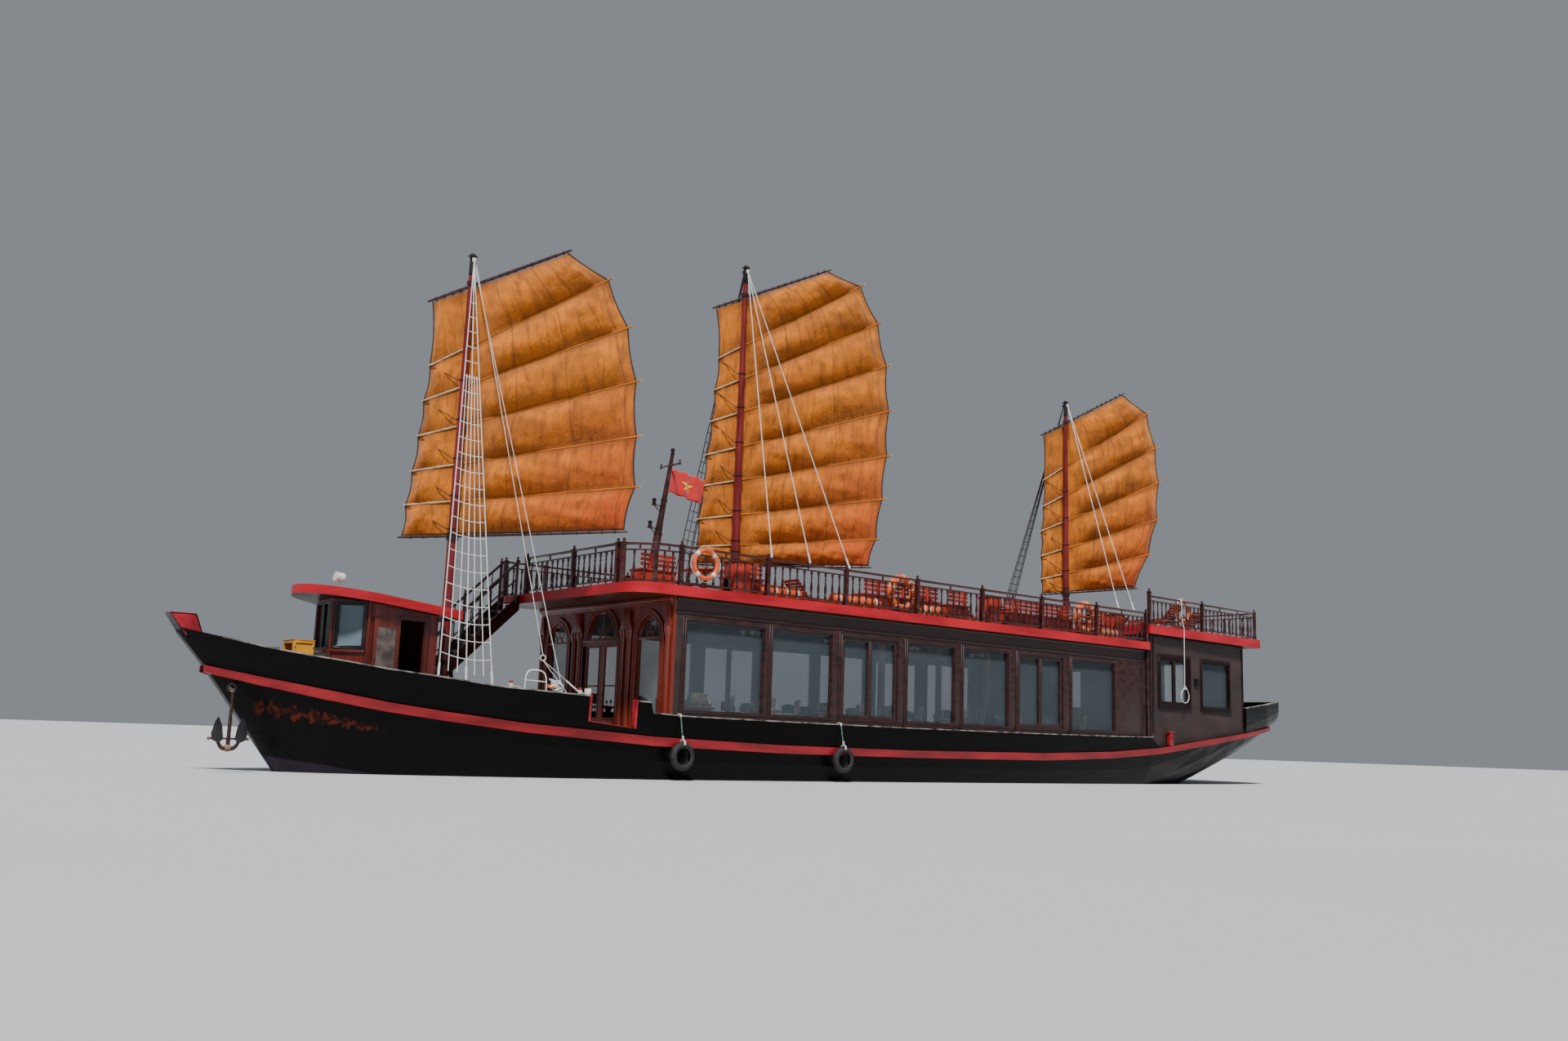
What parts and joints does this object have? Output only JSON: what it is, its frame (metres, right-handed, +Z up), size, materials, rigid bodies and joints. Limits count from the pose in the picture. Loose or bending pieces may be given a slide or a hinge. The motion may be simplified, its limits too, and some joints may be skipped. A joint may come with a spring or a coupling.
{
  "type": "three-masted sailing junk",
  "caption": "Three-masted cruise junk with battened sails, a long glazed saloon, wheelhouse, aft cabin, railed upper deck, rudder and propeller.",
  "frame": {"origin": "on the centreline amidships, at the waterline", "axes": "+X to the bow, +Y to port, +Z up"},
  "size_m": [37.86, 6.7481, 15.5523],
  "materials": {
    "black_gloss_paint": "gloss",
    "dark_red_paint": "gloss",
    "teak_planks": "weathered",
    "brown_matt_wall": "matt paint",
    "window_glass": "clear",
    "varnished_mahogany": "varnished",
    "crimson_fascia": "satin paint",
    "white_paint": "satin",
    "mast_red": "gloss paint",
    "ochre_canvas": "weathered canvas",
    "dark_stained_wood": "varnished",
    "white_rope": "laid rope",
    "painted_iron": "rusty black paint",
    "yellow_paint": "satin",
    "bronze": "dull",
    "fender_rubber": "worn",
    "red_flag": "woven"
  },
  "bodies": {
    "ship": {"aft_bulkhead": "brown_matt_wall", "aft_cabin": "brown_matt_wall", "aft_glass_port": "window_glass", "aft_glass_starboard": "window_glass", "aft_roof": "crimson_fascia", "anchor": "painted_iron", "fender_aft": "fender_rubber", "fender_fore": "fender_rubber", "flag": "red_flag", "fore_mast": "mast_red", "fore_shrouds_port": "white_rope", "fore_tabernacle": "mast_red", "foredeck": "teak_planks", "hanging_rope": "white_rope", "hull": "black_gloss_paint", "light_mast": "dark_stained_wood", "main_mast": "mast_red", "main_shrouds_port": "white_rope", "main_shrouds_starboard": "white_rope", "mizzen_mast": "mast_red", "mizzen_shrouds_port": "white_rope", "mizzen_shrouds_starboard": "white_rope", "rail_aft": "dark_stained_wood", "rail_front": "dark_stained_wood", "rail_port": "dark_stained_wood", "rail_starboard": "dark_stained_wood", "saloon_floor": "teak_planks", "saloon_front": "varnished_mahogany", "saloon_front_glass": "window_glass", "saloon_glass_port": "window_glass", "saloon_glass_starboard": "window_glass", "saloon_side_port": "brown_matt_wall", "saloon_side_starboard": "brown_matt_wall", "searchlight": "white_paint", "stair": "varnished_mahogany", "stern_deck": "teak_planks", "upper_deck": "crimson_fascia", "wale_port": "dark_red_paint", "wale_starboard": "dark_red_paint", "wheelhouse_glass": "window_glass", "wheelhouse_roof": "crimson_fascia", "wheelhouse_walls": "varnished_mahogany", "windlass": "yellow_paint"},
    "fore_rig": {"fore_sail": "ochre_canvas", "fore_yard": "dark_stained_wood", "fore_boom": "dark_stained_wood"},
    "main_rig": {"main_sail": "ochre_canvas", "main_yard": "dark_stained_wood", "main_boom": "dark_stained_wood"},
    "mizzen_rig": {"mizzen_sail": "ochre_canvas", "mizzen_yard": "dark_stained_wood", "mizzen_boom": "dark_stained_wood"},
    "rudder": {"rudder": "black_gloss_paint"},
    "propeller": {"propeller": "bronze"},
    "saloon_door_port": {"saloon_door_port": "varnished_mahogany"},
    "saloon_door_starboard": {"saloon_door_starboard": "varnished_mahogany"},
    "wheelhouse_door_port": {"wheelhouse_door_port": "varnished_mahogany"},
    "wheelhouse_door_starboard": {"wheelhouse_door_starboard": "varnished_mahogany"}
  },
  "joints": [
    {"name": "fore_sail_swing", "type": "hinge", "parent": "ship", "child": "fore_rig", "pos_m": [13.4, 0, 9], "axis": [0, 0, 1], "range_deg": [-5, 60]},
    {"name": "main_sail_swing", "type": "hinge", "parent": "ship", "child": "main_rig", "pos_m": [5.2, 0, 9], "axis": [0, 0, 1], "range_deg": [-5, 60]},
    {"name": "mizzen_sail_swing", "type": "hinge", "parent": "ship", "child": "mizzen_rig", "pos_m": [-8.85, 0, 9], "axis": [0, 0, 1], "range_deg": [-5, 60]},
    {"name": "rudder_turn", "type": "hinge", "parent": "ship", "child": "rudder", "pos_m": [-12.98, 0, -0.8], "axis": [0, 0, 1], "range_deg": [-35, 35]},
    {"name": "propeller_spin", "type": "hinge", "parent": "ship", "child": "propeller", "pos_m": [-12.25, 0, -0.92], "axis": [1, 0, 0], "continuous": true},
    {"name": "saloon_door_port_hinge", "type": "hinge", "parent": "ship", "child": "saloon_door_port", "pos_m": [9.154, 0.7857, 2], "axis": [0, 0, 1], "range_deg": [-90, 0]},
    {"name": "saloon_door_starboard_hinge", "type": "hinge", "parent": "ship", "child": "saloon_door_starboard", "pos_m": [9.154, -0.7857, 2], "axis": [0, 0, 1], "range_deg": [0, 90]},
    {"name": "wheelhouse_door_port_hinge", "type": "hinge", "parent": "ship", "child": "wheelhouse_door_port", "pos_m": [14.95, 1.028, 2.4], "axis": [0, 0, 1], "range_deg": [0, 180]},
    {"name": "wheelhouse_door_starboard_hinge", "type": "hinge", "parent": "ship", "child": "wheelhouse_door_starboard", "pos_m": [14.95, -1.028, 2.4], "axis": [0, 0, 1], "range_deg": [0, 180]}
  ]
}
